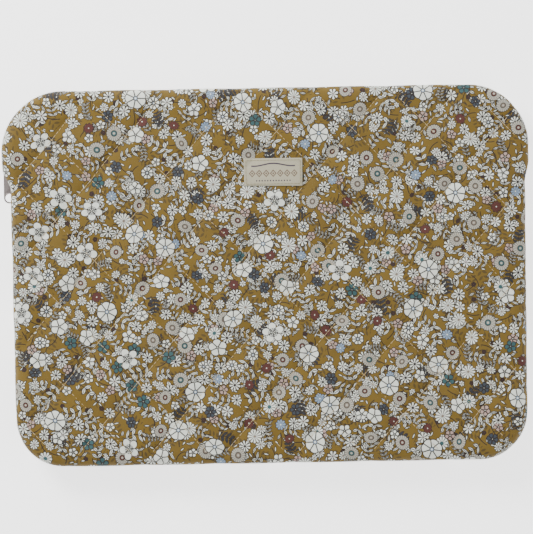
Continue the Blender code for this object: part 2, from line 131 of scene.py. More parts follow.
def corner(side, top):
    """A corner arc's centre and radius."""
    radius = TOP_RADIUS if top else BOTTOM_RADIUS
    y = (HALF_HEIGHT - radius) if top else (radius - HALF_HEIGHT)
    edge = float(side_x(HALF_HEIGHT if top else -HALF_HEIGHT, side))
    return np.array([edge - side * radius, y]), radius


def dense_outline():
    """The outline as closely spaced points, anticlockwise from the right corner's lower end."""
    points = []
    for side, top, start in ((1, True, 0), (-1, True, 90), (-1, False, 180), (1, False, 270)):
        centre, radius = corner(side, top)
        angles = np.radians(np.linspace(start, start + 90, ARC_POINTS))
        points.append(centre + radius * np.stack([np.cos(angles), np.sin(angles)], 1))
        if (side > 0) != top:  # a straight side follows this corner
            ends = (HALF_HEIGHT - TOP_RADIUS, BOTTOM_RADIUS - HALF_HEIGHT)
            ys = np.linspace(*(ends if top else ends[::-1]), SIDE_POINTS)[1:-1]
            points.append(np.stack([side_x(ys, side), ys], 1))
    return np.concatenate(points)


OUTLINE = dense_outline()
CLOSED = np.concatenate([OUTLINE, OUTLINE[:1]])
LENGTHS = np.concatenate([[0], np.cumsum(np.linalg.norm(np.diff(CLOSED, axis=0), axis=1))])
PERIMETER = LENGTHS[-1]


def along_outline(distance):
    """Points and outward directions at distances along the outline."""
    def point(at):
        at = np.mod(at, PERIMETER)
        return np.stack([np.interp(at, LENGTHS, CLOSED[:, k]) for k in (0, 1)], 1)
    distance = np.mod(distance, PERIMETER)
    along = point(distance + DIRECTION_STEP) - point(distance - DIRECTION_STEP)
    along /= np.linalg.norm(along, axis=1)[:, None]
    return point(distance), np.stack([along[:, 1], -along[:, 0]], 1)


def nearest_length(target):
    return LENGTHS[np.argmin(np.linalg.norm(OUTLINE - target, axis=1))]


def distance_at(side, top, degrees):
    """How far along the outline a point of a corner's arc is, by its angle."""
    centre, radius = corner(side, top)
    angle = math.radians(degrees)
    return nearest_length(centre + radius * np.array([math.cos(angle), math.sin(angle)]))


def distance_at_side(side, y):
    """How far along the outline a point of its side is, and below zero on the right side."""
    found = nearest_length(np.array([float(side_x(y, side)), y]))
    return found - PERIMETER if side > 0 else found


def zip_share(points):
    """1 where the edge is zipped, 0 where it is sewn."""
    return smooth(points[:, 1], SEWN_Y, CHAIN_END_Y)


# ---------------------------------------------------------------- surface shape


def value_noise(x, y, seed):
    """Smooth repeatable noise from -1 to 1, one cell a unit."""
    def lattice(i, j):
        n = np.sin(i * 127.1 + j * 311.7 + seed * 74.7) * 43758.5453
        return 2 * (n - np.floor(n)) - 1
    i, j = np.floor(x), np.floor(y)
    u, v = x - i, y - j
    u, v = u * u * (3 - 2 * u), v * v * (3 - 2 * v)
    low = lattice(i, j) * (1 - u) + lattice(i + 1, j) * u
    high = lattice(i, j + 1) * (1 - u) + lattice(i + 1, j + 1) * u
    return low * (1 - v) + high * v


def row_waver(along, across):
    """How far a row of stitches strays from straight."""
    return WAVER * value_noise(along / WAVER_ALONG, across / WAVER_ACROSS, 3.0)


def row_distances(x, y):
    """For each family of rows: the distance to the nearest row, and the place along it."""
    found = []
    for angle, start, spacing in QUILT_ROWS:
        across = x * math.cos(angle) + y * math.sin(angle) - start
        along = -x * math.sin(angle) + y * math.cos(angle)
        across = across + row_waver(along, across)
        found.append((np.abs(np.mod(across / spacing + 0.5, 1) - 0.5) * spacing, along))
    return found


def valley(distance):
    """0 on a row of stitches, rising to 1 away from it."""
    return np.sqrt(1 - np.exp(-(distance / VALLEY_REACH) ** 1.15))


def puff(x, y, seed=0.0):
    """How far the quilted fabric stands up at a place, from 0 on a row of stitches to about 1."""
    (one, along_one), (two, along_two) = row_distances(x, y)
    rise = valley(one) * valley(two)
    pucker = 0.0
    for near, along, phase in ((one, along_one, 1.7), (two, along_two, 5.1)):
        ripple = value_noise(along / 0.0042, near / 0.010, 11.0 + phase + seed)
        ripple = ripple + 0.6 * value_noise(along / 0.0023, near / 0.008, 23.0 + phase + seed)
        pucker = pucker + 0.10 * ripple * np.exp(-near / PUCKER_REACH)
    crease = (0.05 * value_noise(x / 0.013, y / 0.013, 31.0 + seed)
              + 0.03 * value_noise(x / 0.006, y / 0.006, 37.0 + seed))
    return rise + (pucker + crease) * np.clip(rise * 3, 0.15, 1)


def label_calm(x, y):
    """1, and less under the label, which holds the fabric flat."""
    away = np.maximum(np.abs(x - LABEL_MIDDLE.x) - LABEL_HALF.x,
                      np.abs(y - LABEL_MIDDLE.y) - LABEL_HALF.y)
    return LABEL_CALM + (1 - LABEL_CALM) * smooth(away, -0.001, 0.009)


def front_height(x, y):
    """The printed front's height over the flat middle."""
    sag = 0.0005 * value_noise(x / 0.09, y / 0.09, 5.0)
    return COVER_ZIPPED[-1][1] - 0.0006 + sag + PUFF * puff(x, y) * label_calm(x, y)


def curve_through(points, count):
    """A smooth (Catmull-Rom) curve through a section's points."""
    p = np.array(points, float)
    p = np.concatenate([[2 * p[0] - p[1]], p, [2 * p[-1] - p[-2]]])
    spans = len(p) - 3
    t = np.linspace(0, spans, count)
    i = np.minimum(t.astype(int), spans - 1)
    u = (t - i)[:, None]
    a, b, c, d = p[i], p[i + 1], p[i + 2], p[i + 3]
    return 0.5 * (2 * b + (c - a) * u + (2 * a - 5 * b + 4 * c - d) * u ** 2
                  + (3 * b - a - 3 * c + d) * u ** 3)


def grid_index(columns, rows):
    return np.arange((rows + 1) * (columns + 1)).reshape(rows + 1, columns + 1)


def grid_quads(index):
    return np.stack([index[:-1, :-1], index[:-1, 1:], index[1:, 1:], index[1:, :-1]], -1).reshape(-1, 4)


def patch(columns, rows, inset):
    """A grid over the middle: a Coons patch on the outline, inset.

    Returns its points, their index, its border's points in order and where they are on the outline.
    """
    turns = [distance_at(1, False, 315), distance_at(1, True, 45), distance_at(-1, True, 135),
             distance_at(-1, False, 225)]
    stretches = [(turns[3], turns[0], columns), (turns[0], turns[1], rows),
                 (turns[1], turns[2], columns), (turns[2], turns[3], rows)]
    sides, distances = [], []
    for start, end, count in stretches:
        if end < start:
            end += PERIMETER
        at = np.linspace(start, end, count + 1)
        place, out = along_outline(at)
        sides.append(place - out * inset)
        distances.append(at)
    bottom, right, top, left = sides[0], sides[1], sides[2][::-1], sides[3][::-1]
    u = np.linspace(0, 1, columns + 1)[None, :, None]
    v = np.linspace(0, 1, rows + 1)[:, None, None]
    grid = (1 - v) * bottom[None] + v * top[None] + (1 - u) * left[:, None] + u * right[:, None]
    grid = grid - ((1 - u) * (1 - v) * bottom[0] + u * (1 - v) * bottom[-1]
                   + (1 - u) * v * top[0] + u * v * top[-1])
    index = grid_index(columns, rows)
    border = np.concatenate([index[0, :-1], index[:-1, -1], index[-1, :0:-1], index[:0:-1, 0]])
    around = np.concatenate([d[:-1] for d in distances])
    return grid.reshape(-1, 2), index, border, around


def sheet_mesh(name, spacing, zipped, sewn, levels, height, front=True, swell=0.0, seed=0.0):
    """One wall layer: the patch at height(x, y), with its edge's section carried round it.

    swell is how far the puffs lift the edge. The back is the front turned over.
    """
    columns, rows = (int(length / spacing) for length in PATCH_SIZE)
    inset = -zipped[-1][0]  # where the edge's section ends and the flat middle starts
    middle, index, border, around = patch(columns, rows, inset)
    place, out = along_outline(around)
    share = zip_share(place)[:, None, None]
    section = (curve_through(zipped, levels)[None] * share
               + curve_through(sewn, levels)[None] * (1 - share))
    steps = np.linalg.norm(np.diff(section, axis=1), axis=2)
    # How far out each level lies when the cloth is flat
    unrolled = np.cumsum(steps[:, ::-1], axis=1)[:, ::-1] - inset
    slope = np.gradient(section, axis=1)
    slope /= np.linalg.norm(slope, axis=2)[..., None] + 1e-12
    normal = np.stack([slope[..., 1], -slope[..., 0]], 2)
    flat = place[:, None] + out[:, None] * section[..., :1]
    if swell:
        rise = puff(flat[..., 0], flat[..., 1], seed)
        level = np.arange(levels)[None]
        inner = smooth(level, levels * 0.45, levels * 0.95)
        rise = 1 - (1 - rise) * (0.30 + 0.70 * inner)  # the rolled edge hides most of each row
        lift = swell * (rise - 0.70 + 0.45 * inner) * (0.50 + 0.50 * inner)
        section = section + normal * (lift * smooth(level, 0, levels * 0.4))[..., None]
        flat = place[:, None] + out[:, None] * section[..., :1]
    middle_z = height(middle[:, 0], middle[:, 1])
    # The section's last level is the patch's border, so the two are brought together there.
    gap = (middle_z[border] - section[:, -1, 1])[:, None]
    edge_z = section[..., 1] + gap * smooth(np.arange(levels), levels * 0.5, levels - 1)[None]
    if not front:
        edge_z = np.minimum(edge_z, THICKNESS)
    verts, cloth, rings = [np.column_stack([middle, middle_z])], [middle], []
    for level in range(levels - 1):
        verts.append(np.column_stack([flat[:, level], edge_z[:, level]]))
        cloth.append(place + out * unrolled[:, level, None])
        rings.append(len(middle) + level * len(border) + np.arange(len(border)))
    rings.append(border)
    verts = np.concatenate(verts)
    if not front:
        verts[:, 2] = THICKNESS - verts[:, 2]
    quads = [grid_quads(index)]
    for low, high in zip(rings, rings[1:]):
        quads.append(np.stack([low, np.roll(low, -1), np.roll(high, -1), high], 1))
    quads = np.concatenate(quads)
    if not front:
        quads = quads[:, ::-1]
    obj = new_mesh(name, verts, quads)
    lay_cloth(obj, np.concatenate(cloth), front)
    return obj


def add_object(name, data):
    obj = bpy.data.objects.new(name, data)
    bpy.context.scene.collection.objects.link(obj)
    return obj


def new_mesh(name, verts, faces, smooth_shading=True):
    mesh = bpy.data.meshes.new(name)
    mesh.from_pydata(np.asarray(verts).tolist(), [],
                     faces.tolist() if isinstance(faces, np.ndarray) else faces)
    mesh.update()
    if smooth_shading:
        mesh.shade_smooth()
    return add_object(name, mesh)


def lay_cloth(obj, flat, front=True):
    """Stores where each point lies on the flat cloth, so that the print stays on it as it bends."""
    if not front:
        flat = flat * np.array([-1, 1]) + np.array(BACK_CLOTH)
    mesh = obj.data
    loops = np.empty(len(mesh.loops), int)
    mesh.loops.foreach_get("vertex_index", loops)
    layer = mesh.uv_layers.new(name="cloth")
    layer.data.foreach_set("uv", (flat[loops] * UV_PER_METRE).ravel())


def thicken(obj, thickness):
    """Makes a solid of a sheet, on its under side."""
    mod = obj.modifiers.new("thickness", "SOLIDIFY")
    mod.thickness = thickness
    mod.offset = -1.0
    depsgraph = bpy.context.evaluated_depsgraph_get()
    mesh = bpy.data.meshes.new_from_object(obj.evaluated_get(depsgraph))
    obj.modifiers.clear()
    old = obj.data
    obj.data = mesh
    bpy.data.meshes.remove(old)


def wear(obj, mat):
    obj.data.materials.clear()
    obj.data.materials.append(mat)


def fold(obj):
    """Bakes the placement of a piece of the front wall into its mesh."""
    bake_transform(obj)


# ---------------------------------------------------------------- shader arithmetic


def linear(red, green, blue):
    """A colour given in display values out of 255, as the shader takes it."""
    return tuple(c / 12.92 if c <= 0.04045 else ((c + 0.055) / 1.055) ** 2.4
                 for c in (red / 255, green / 255, blue / 255)) + (1.0,)


def preset(node, **values):
    """Sets a node's inputs by name, with an underscore for a space."""
    for key, value in values.items():
        node.inputs[key.replace("_", " ")].default_value = value


class Value:
    """A number in a shader's node tree, which arithmetic can be written with."""

    def __init__(self, tree, socket):
        self.tree, self.socket = tree, socket

    def math(self, operation, *others):
        node = self.tree.nodes.new("ShaderNodeMath")
        node.operation = operation
        for slot, item in zip(node.inputs, (self, *others)):
            if isinstance(item, Value):
                self.tree.links.new(item.socket, slot)
            else:
                slot.default_value = item
        return Value(self.tree, node.outputs[0])

    def __add__(self, other):
        return self.math("ADD", other)

    def __sub__(self, other):
        return self.math("SUBTRACT", other)

    def __mul__(self, other):
        return self.math("MULTIPLY", other)

    def __truediv__(self, other):
        return self.math("DIVIDE", other)

    def __rsub__(self, other):
        return (self * -1.0) + other

    def __abs__(self):
        return self.math("ABSOLUTE")

    def __pow__(self, other):
        return self.math("POWER", other)

    def over(self, limit):
        return self.math("GREATER_THAN", limit)

    def under(self, limit):
        return self.math("LESS_THAN", limit)

    def between(self, low, high):
        return self.over(low) * self.under(high)

    def cos(self):
        return self.math("COSINE")

    def least(self, other):
        return self.math("MINIMUM", other)

    def most(self, other):
        return self.math("MAXIMUM", other)

    def wrap(self, low, high):
        return self.math("WRAP", high, low)


class Point:
    """A place in the plane, as two Values."""

    def __init__(self, x, y):
        self.x, self.y = x, y

    def length(self):
        return (self.x * self.x + self.y * self.y).math("SQRT")

    def angle(self):
        return self.y.math("ARCTAN2", self.x)

    def turned(self, radians):
        cos, sin = math.cos(radians), math.sin(radians)
        return Point(self.x * cos + self.y * sin, self.y * cos - self.x * sin)

    def moved(self, x, y):
        return Point(self.x - x, self.y - y)


class Shader:
    """A material being built: its node tree, its shader and what is needed to mix colours."""

    def __init__(self, name, roughness, sheen=0.0, metallic=0.0):
        self.material = bpy.data.materials.new(name)
        self.material.use_nodes = True
        self.tree = self.material.node_tree
        self.bsdf = self.tree.nodes["Principled BSDF"]
        preset(self.bsdf, Roughness=roughness, Metallic=metallic)
        if sheen:
            preset(self.bsdf, Sheen_Weight=sheen, Sheen_Roughness=0.6)

    def node(self, kind, **settings):
        node = self.tree.nodes.new(kind)
        for key, value in settings.items():
            setattr(node, key, value)
        return node

    def link(self, output, target):
        self.tree.links.new(output, target)

    def place(self, source="cloth"):
        """The place on the cloth, or in the object's own coordinates, in millimetres."""
        if source == "cloth":
            start = self.node("ShaderNodeUVMap", uv_map="cloth").outputs["UV"]
            factor = 1000.0 / UV_PER_METRE
        else:
            start = self.node("ShaderNodeTexCoord").outputs["Object"]
            factor = 1000.0
        node = self.node("ShaderNodeVectorMath", operation="SCALE")
        self.link(start, node.inputs[0])
        preset(node, Scale=factor)
        return node.outputs[0]

    def split(self, vector):
        node = self.node("ShaderNodeSeparateXYZ")
        self.link(vector, node.inputs[0])
        return [Value(self.tree, out) for out in node.outputs]

    def noise(self, vector, scale, detail=2.0, rough=0.5):
        node = self.node("ShaderNodeTexNoise")
        self.link(vector, node.inputs["Vector"])
        preset(node, Scale=scale, Detail=detail, Roughness=rough)
        return Value(self.tree, node.outputs["Fac"])

    def mix(self, below, above, share):
        """Colour above laid over colour below where share is 1."""
        node = self.node("ShaderNodeMix", data_type="RGBA")
        inputs = (node.inputs[6], node.inputs[7], node.inputs[0])  # A, B and the factor
        for slot, item in zip(inputs, (below, above, share)):
            if isinstance(item, Value):
                self.link(item.socket, slot)
            elif isinstance(item, bpy.types.NodeSocket):
                self.link(item, slot)
            else:
                slot.default_value = item
        return node.outputs[2]

    def cells(self, vector, size, scatter, turn, shift):
        """The offset from the nearest of many scattered centres, and that one's three random numbers."""
        mapping = self.node("ShaderNodeMapping")
        self.link(vector, mapping.inputs["Vector"])
        preset(mapping, Scale=(1 / size, 1 / size, 1), Rotation=(0, 0, turn),
               Location=(shift, shift * 0.7, 0))
        voronoi = self.node("ShaderNodeTexVoronoi", voronoi_dimensions="2D", feature="F1")
        self.link(mapping.outputs[0], voronoi.inputs["Vector"])
        preset(voronoi, Scale=1.0, Randomness=scatter)
        offset = self.node("ShaderNodeVectorMath", operation="SUBTRACT")
        self.link(mapping.outputs[0], offset.inputs[0])
        self.link(voronoi.outputs["Position"], offset.inputs[1])
        chances = self.split(voronoi.outputs["Color"])
        spin = self.node("ShaderNodeVectorRotate", rotation_type="Z_AXIS")
        self.link(offset.outputs[0], spin.inputs["Vector"])
        self.link((chances[0] * (math.tau)).socket, spin.inputs["Angle"])
        x, y, _ = self.split(spin.outputs[0])
        tilt = chances[2] * 0.34 + 0.90  # seen a little from the side, by chance
        return Point(x * tilt * size, y * size), chances

    def bump(self, height, distance, strength):
        node = self.node("ShaderNodeBump")
        preset(node, Distance=distance, Strength=strength)
        self.link(height.socket, node.inputs["Height"])
        return node.outputs[0]

    def finish(self, colour, normal=None, roughness=None):
        self.link(colour, self.bsdf.inputs["Base Color"])
        if normal is not None:
            self.link(normal, self.bsdf.inputs["Normal"])
        if roughness is not None:
            self.link(roughness.socket, self.bsdf.inputs["Roughness"])
        return self.material


def soft(value, width=BLUR):
    """0 to 1 over a width about zero, which keeps printed edges from being jagged."""
    return (value / width + 0.5).most(0.0).least(1.0)


# ---------------------------------------------------------------- the print

OCHRE = linear(117, 92, 14)
OCHRE_DARK = linear(78, 61, 19)
INK = linear(30, 21, 16)
CHALK = linear(230, 233, 222)
SHELL = linear(176, 172, 158)
TAUPE = linear(120, 107, 94)
TEAL = linear(46, 83, 86)
NAVY = linear(52, 60, 70)
BURGUNDY = linear(82, 37, 30)
ROSE = linear(176, 150, 140)
SKY = linear(132, 153, 176)
BLACK = linear(34, 32, 34)


class Print:
    """Motifs laid one over another on the ochre ground. Sizes are in millimetres."""

    def __init__(self, shader):
        self.shader, self.colour = shader, OCHRE

    def lay(self, colour, share):
        self.colour = self.shader.mix(self.colour, colour, share)

    def round_flower(self, at, radius, petals, notch, keep, fill, centre=None, heart=0.26):
        """Broad petals with notches and lines between them, outlined in ink."""
        r = at.length()
        wave = abs((at.angle() * (petals / 2)).cos())
        edge = ((wave ** 0.45) * notch + (1 - notch)) * radius - r
        inside = soft(edge) * keep
        self.lay(INK, soft(edge + LINE) * keep)
        self.lay(fill, inside)
        divide = soft(LINE * 0.6 - r * wave * (2 / petals)) * r.over(radius * heart)
        self.lay(INK, divide * inside)
        veins = abs((at.angle() * (petals * 1.5)).cos()).under(0.16)
        self.lay(INK, veins * r.between(radius * heart, radius * 0.58) * inside * 0.55)
        if centre:
            self.ring(r, radius * heart, keep, centre)

    def ring(self, r, radius, keep, colour, dot=CHALK):
        self.lay(INK, soft(radius - r) * keep)
        self.lay(colour, soft(radius - LINE * 0.8 - r) * keep)
        self.lay(dot, soft(radius * 0.38 - r) * keep)

    def daisy(self, at, radius, petals, gap, keep, fill, centre=INK, heart=0.22):
        """Separate narrow petals that widen outwards."""
        r = at.length()
        wave = abs((at.angle() * (petals / 2)).cos())
        across = (wave - gap) * r * (2.2 / petals)
        tip = (wave * 0.28 + 0.72) * radius - r
        petal = across.least(tip)
        clear = soft(r - radius * 0.12)
        self.lay(INK, soft(radius * 0.42 - r) * keep)
        self.lay(INK, soft(petal + LINE * 0.8) * keep * clear)
        self.lay(fill, soft(petal) * keep * clear)
        self.lay(centre, soft(radius * heart - r) * keep)

    def seed_head(self, at, radius, keep, ring):
        """A ribbed round head with a coloured ring."""
        r = at.length()
        ribs = abs((at.angle() * 9.0).cos())
        edge = (ribs * 0.07 + 0.93) * radius - r
        inside = soft(edge) * keep
        self.lay(INK, soft(edge + LINE * 0.7) * keep)
        self.lay(SHELL, inside)
        self.lay(INK, inside * ribs.under(0.5) * r.over(radius * 0.4) * 0.6)
        self.ring(r, radius * 0.44, keep, ring, SHELL)

    def stamens(self, at, radius, count, keep, colour):
        """A ring of dots with a knot of them inside."""
        r = at.length()
        for turn, place in ((0.0, 1.0), (0.5, 0.66)):
            step = math.tau / count
            across = (at.angle() + turn * step).wrap(-step / 2, step / 2) * r
            away = (across * across + (r - radius * place) * (r - radius * place)).math("SQRT")
            self.lay(colour, soft(0.42 - away) * keep)

    def leaf(self, at, length, width, keep, fill, rib=True):
        """A pointed leaf along x, with its midrib."""
        share = at.x / length
        edge = (1 - share * share) * width - abs(at.y)
        self.lay(INK, soft(edge + LINE * 0.8) * keep)
        self.lay(fill, soft(edge) * keep)
        if rib:
            line = soft(LINE * 0.4 - abs(at.y)) * soft(length * 0.75 - abs(at.x))
            self.lay(INK, line * keep)

    def shadow_sprig(self, at, reach, pitch, length, width, keep, fill):
        """A sprig in one flat colour, without lines."""
        step = Point(at.x.wrap(-pitch / 2, pitch / 2), abs(at.y))
        leaf = step.moved(0.0, length * 0.9).turned(math.radians(58))
        share = leaf.x / length
        edge = (1 - share * share) * width - abs(leaf.y)
        self.lay(fill, soft(edge, BLUR * 2) * soft(reach - abs(at.x)) * keep)

    def stem(self, at, reach, bend):
        """A curved line of ink."""
        away = abs(at.y - at.x * at.x * bend)
        self.lay(INK, soft(LINE * 0.5 - away) * soft(reach - abs(at.x)))

    def sprig(self, at, reach, pitch, length, width, keep, fill):
        """A bent stem with a leaf on each side at every step."""
        bent = Point(at.x, at.y + at.x * at.x * (0.35 / reach))
        inside = soft(reach - abs(bent.x)) * keep
        self.lay(INK, soft(LINE * 0.5 - abs(bent.y)) * inside)
        step = Point(bent.x.wrap(-pitch / 2, pitch / 2), abs(bent.y))
        leaf = step.moved(0.0, length * 0.9).turned(math.radians(58))
        near = soft(reach - pitch * 0.3 - abs(bent.x)) * keep
        self.leaf(leaf, length, width, near, fill)


def printed_cotton():
    shader = Shader("printed_cotton", roughness=0.85, sheen=0.03)
    place = shader.place()
    art = Print(shader)
    mottle = shader.noise(place, 0.05, 3.0)
    art.lay(OCHRE_DARK, mottle * 0.55)

    # darker leaves printed in the ground
    at, chance = shader.cells(place, 13.0, 0.7, 2.6, 12.1)
    art.shadow_sprig(at, 6.0, 3.2, 2.0, 0.8, chance[1].under(0.8), OCHRE_DARK)
    at, chance = shader.cells(place, 11.0, 0.7, 2.2, 19.7)
    art.stem(at, 5.0, chance[2] * 0.16 - 0.08)

    # loose leaves, buds and tiny flowers
    at, chance = shader.cells(place, 4.4, 0.75, 0.3, 4.1)
    art.leaf(at, 1.5, 0.34, chance[1].under(0.4), CHALK, rib=False)
    at, chance = shader.cells(place, 6.2, 0.8, 1.1, 9.3)
    art.leaf(at, 2.1, 0.56, chance[1].under(0.34), CHALK)
    at, chance = shader.cells(place, 7.2, 0.8, 2.3, 2.2)
    art.daisy(at, 1.9, 6, 0.60, chance[1].under(0.16), CHALK, TAUPE, 0.2)
    art.round_flower(at, 1.2, 5, 0.4, chance[1].over(0.88), BURGUNDY)

    # leafy sprigs
    at, chance = shader.cells(place, 18.0, 0.6, 0.7, 5.7)
    art.sprig(at, 8.2, 4.9, 2.2, 0.95, chance[1].under(0.45), CHALK)
    art.sprig(at, 7.0, 2.4, 1.4, 0.42, chance[1].over(0.60), CHALK)
    at, chance = shader.cells(place, 15.0, 0.65, 2.9, 14.5)
    art.sprig(at, 6.6, 3.8, 1.9, 0.68, chance[1].under(0.56), CHALK)
    at, chance = shader.cells(place, 37.0, 0.5, 1.9, 1.3)
    art.sprig(at, 6.6, 2.9, 1.9, 0.6, chance[1].under(0.65), NAVY)

    # small flowers
    at, chance = shader.cells(place, 10.2, 0.6, 0.15, 6.6)
    kind = chance[1]
    art.daisy(at, 3.8, 9, 0.70, kind.under(0.18), CHALK)
    art.round_flower(at, 3.0, 5, 0.70, kind.between(0.20, 0.29), CHALK, TAUPE, 0.2)
    art.daisy(at, 3.6, 7, 0.64, kind.between(0.31, 0.41), CHALK, BURGUNDY, 0.12)
    art.daisy(at, 3.0, 9, 0.66, kind.between(0.42, 0.56), CHALK, TAUPE, 0.2)
    art.round_flower(at, 3.2, 5, 0.5, kind.over(0.92), ROSE, TAUPE, 0.24)

    # middling flowers, some of them coloured
    at, chance = shader.cells(place, 16.0, 0.5, 0.95, 3.9)
    kind = chance[1]
    art.seed_head(at, 5.0, kind.under(0.07), TEAL)
    art.seed_head(at, 4.5, kind.between(0.07, 0.13), BURGUNDY)
    art.seed_head(at, 4.7, kind.between(0.13, 0.18), TAUPE)
    art.daisy(at, 4.9, 12, 0.54, kind.between(0.18, 0.26), CHALK, TAUPE, 0.18)
    art.round_flower(at, 3.8, 8, 0.24, kind.between(0.28, 0.34), CHALK, SKY, 0.32)
    art.round_flower(at, 4.0, 5, 0.6, kind.between(0.35, 0.43), TEAL, TEAL, 0.12)
    art.round_flower(at, 3.6, 6, 0.4, kind.between(0.43, 0.50), NAVY, NAVY, 0.16)
    art.daisy(at, 3.5, 9, 0.12, kind.between(0.50, 0.57), BURGUNDY, CHALK, 0.12)
    art.daisy(at, 3.4, 9, 0.3, kind.between(0.60, 0.66), SKY, CHALK, 0.14)
    art.round_flower(at, 4.2, 5, 0.74, kind.between(0.66, 0.71), CHALK, BURGUNDY, 0.14)
    art.daisy(at, 4.4, 11, 0.48, kind.between(0.73, 0.77), CHALK, TEAL, 0.3)

    # the big white ones
    at, chance = shader.cells(place, 28.0, 0.5, 0.42, 7.7)
    kind = chance[1]
    art.round_flower(at, 6.6, 7, 0.16, kind.under(0.17), CHALK, SKY, 0.24)
    art.round_flower(at, 7.4, 5, 0.78, kind.between(0.22, 0.38), CHALK, SHELL, 0.12)
    art.stamens(at, 3.0, 15, kind.between(0.22, 0.38), BLACK)
    art.round_flower(at, 5.6, 5, 0.4, kind.between(0.44, 0.56), CHALK, NAVY, 0.14)

    x, y, _ = shader.split(place)
    turn = math.tau / 0.42
    weave = (x * turn).cos() + (y * turn).cos()
    slub = shader.noise(place, 1.6, 3.0)
    colour = shader.mix(art.colour, linear(60, 48, 34), (weave * -0.5).most(0.0) * 0.10)
    colour = shader.mix(colour, linear(246, 240, 226), slub.over(0.66) * 0.06)
    normal = shader.bump(slub * 0.6 + weave * 0.4, 0.00005, 0.6)
    return shader.finish(colour, normal, slub * 0.14 + 0.75)


# ---------------------------------------------------------------- other materials


def cloth(name, base, dark, thread_mm, ribs=False):
    """A plain or ribbed weave in one colour, with slubs."""
    shader = Shader(name, 0.88, sheen=0.1)
    place = shader.place("object")
    x, y, z = shader.split(place)
    turn = math.tau / thread_mm
    if ribs:
        weave = ((x + y + z) * turn).cos() * ((x - y + z) * (turn / 3)).cos()
    else:
        weave = (x * turn).cos() * (y * turn).cos()
    slub = shader.noise(place, 0.9 / thread_mm, 4.0, 0.6)
    colour = shader.mix(base, dark, (weave * 0.25 + slub).most(0.0) * 0.8)
    normal = shader.bump(weave * 0.5 + slub, 0.00012, 0.7)
    return shader.finish(colour, normal, slub * 0.16 + 0.8)


def metal(name, base, dark):
    """Plated zinc: fine brushing, small dents and darker worn hollows."""
    shader = Shader(name, 0.36, metallic=0.9)
    place = shader.place("object")
    stretch = shader.node("ShaderNodeMapping")
    shader.link(place, stretch.inputs["Vector"])
    preset(stretch, Scale=(6.0, 0.7, 6.0))
    brush = shader.noise(stretch.outputs[0], 2.0, 4.0, 0.65)
    stain = shader.noise(place, 0.55, 4.0, 0.6)
    colour = shader.mix(base, dark, stain * 0.9)
    normal = shader.bump(brush * 0.6 + stain, 0.00006, 0.5)
    return shader.finish(colour, normal, brush * 0.22 + stain * 0.18 + 0.2)


def nylon(name, base, dark):
    shader = Shader(name, 0.42)
    place = shader.place("object")
    grain = shader.noise(place, 1.3, 3.0)
    colour = shader.mix(base, dark, grain * 0.8)
    return shader.finish(colour, shader.bump(grain, 0.00004, 0.5), grain * 0.2 + 0.34)


def thread(name, base, dark):
    """Twisted sewing thread."""
    shader = Shader(name, 0.6, sheen=0.2)
    place = shader.place("object")
    x, y, z = shader.split(place)
    twist = ((x + y * 1.3 + z) * (math.tau / 0.45)).cos()
    fuzz = shader.noise(place, 3.0, 2.0)
    colour = shader.mix(base, dark, (twist * 0.3 + fuzz * 0.6).most(0.0))
    return shader.finish(colour, shader.bump(twist * 0.6 + fuzz, 0.00005, 0.6), fuzz * 0.2 + 0.5)


PRINT = printed_cotton()
PADDING = cloth("batting_fibre", linear(232, 230, 224), linear(206, 204, 198), 2.4)
LINING = cloth("lining_weave", linear(214, 204, 184), linear(186, 174, 150), 0.7)
TAPE = cloth("zip_tape_weave", linear(206, 196, 186), linear(170, 160, 150), 0.8, ribs=True)
COIL = nylon("zip_coil_nylon", linear(216, 210, 200), linear(182, 174, 164))
THREAD = thread("quilting_thread", linear(206, 184, 138), linear(160, 138, 96))
METAL = metal("zip_metal", linear(164, 156, 153), linear(118, 110, 109))


def build_covers():
    """The printed front and the printed back."""
    spacing, levels = FINE_COVER
    front = sheet_mesh("front_cover", spacing, COVER_ZIPPED, COVER_SEWN, levels, front_height,
                       swell=PUFF)
    wear(front, PRINT)
    fold(front)
    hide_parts("front_outer_fabric", "flap_outer_fabric")

    def back_height(x, y):
        rise = np.clip(puff(x, y, 50.0), 0, 1.05)
        return THICKNESS - 0.0013 * np.clip(0.92 - rise, 0, 1)

    back = sheet_mesh("back_cover", spacing * 1.3, COVER_ZIPPED, COVER_SEWN, levels, back_height,
                      front=False, swell=PUFF * 0.5, seed=50.0)
    wear(back, PRINT)
    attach(back, "sleeve_body")
    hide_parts("back_outer_fabric")


def build_front_inside():
    """The front's batting and lining."""
    for name, zipped, sewn, thickness, mat, slot, nodes in (
            ("front_padding", PADDING_ZIPPED, PADDING_SEWN, PADDING_THICKNESS, PADDING, "batting",
             ("front_batting", "flap_batting")),
            ("front_inner", LINING_ZIPPED, LINING_SEWN, LINING_THICKNESS, LINING, "lining",
             ("front_lining", "flap_lining"))):
        top = zipped[-1][1]
        obj = sheet_mesh(name, 0.006, zipped, sewn, 6, lambda x, y: np.full_like(x, top))
        thicken(obj, thickness)
        wear(obj, mat)
        fold(obj)
        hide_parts(*nodes)


def tube(path, radius, sides):
    """Vertices and faces of a round tube along 3D points, with capped ends."""
    along = np.gradient(path, axis=0)
    along /= np.linalg.norm(along, axis=1)[:, None] + 1e-12
    right = np.cross(along, np.array([0.0, 0.0, 1.0]))
    right[np.linalg.norm(right, axis=1) < 1e-6] = (1, 0, 0)
    right /= np.linalg.norm(right, axis=1)[:, None]
    over = np.cross(right, along)
    angles = math.tau * np.arange(sides) / sides
    rings = path[:, None] + radius * (np.cos(angles)[None, :, None] * right[:, None]
                                      + np.sin(angles)[None, :, None] * over[:, None])
    return rings.reshape(-1, 3), swept_faces(len(path), sides)


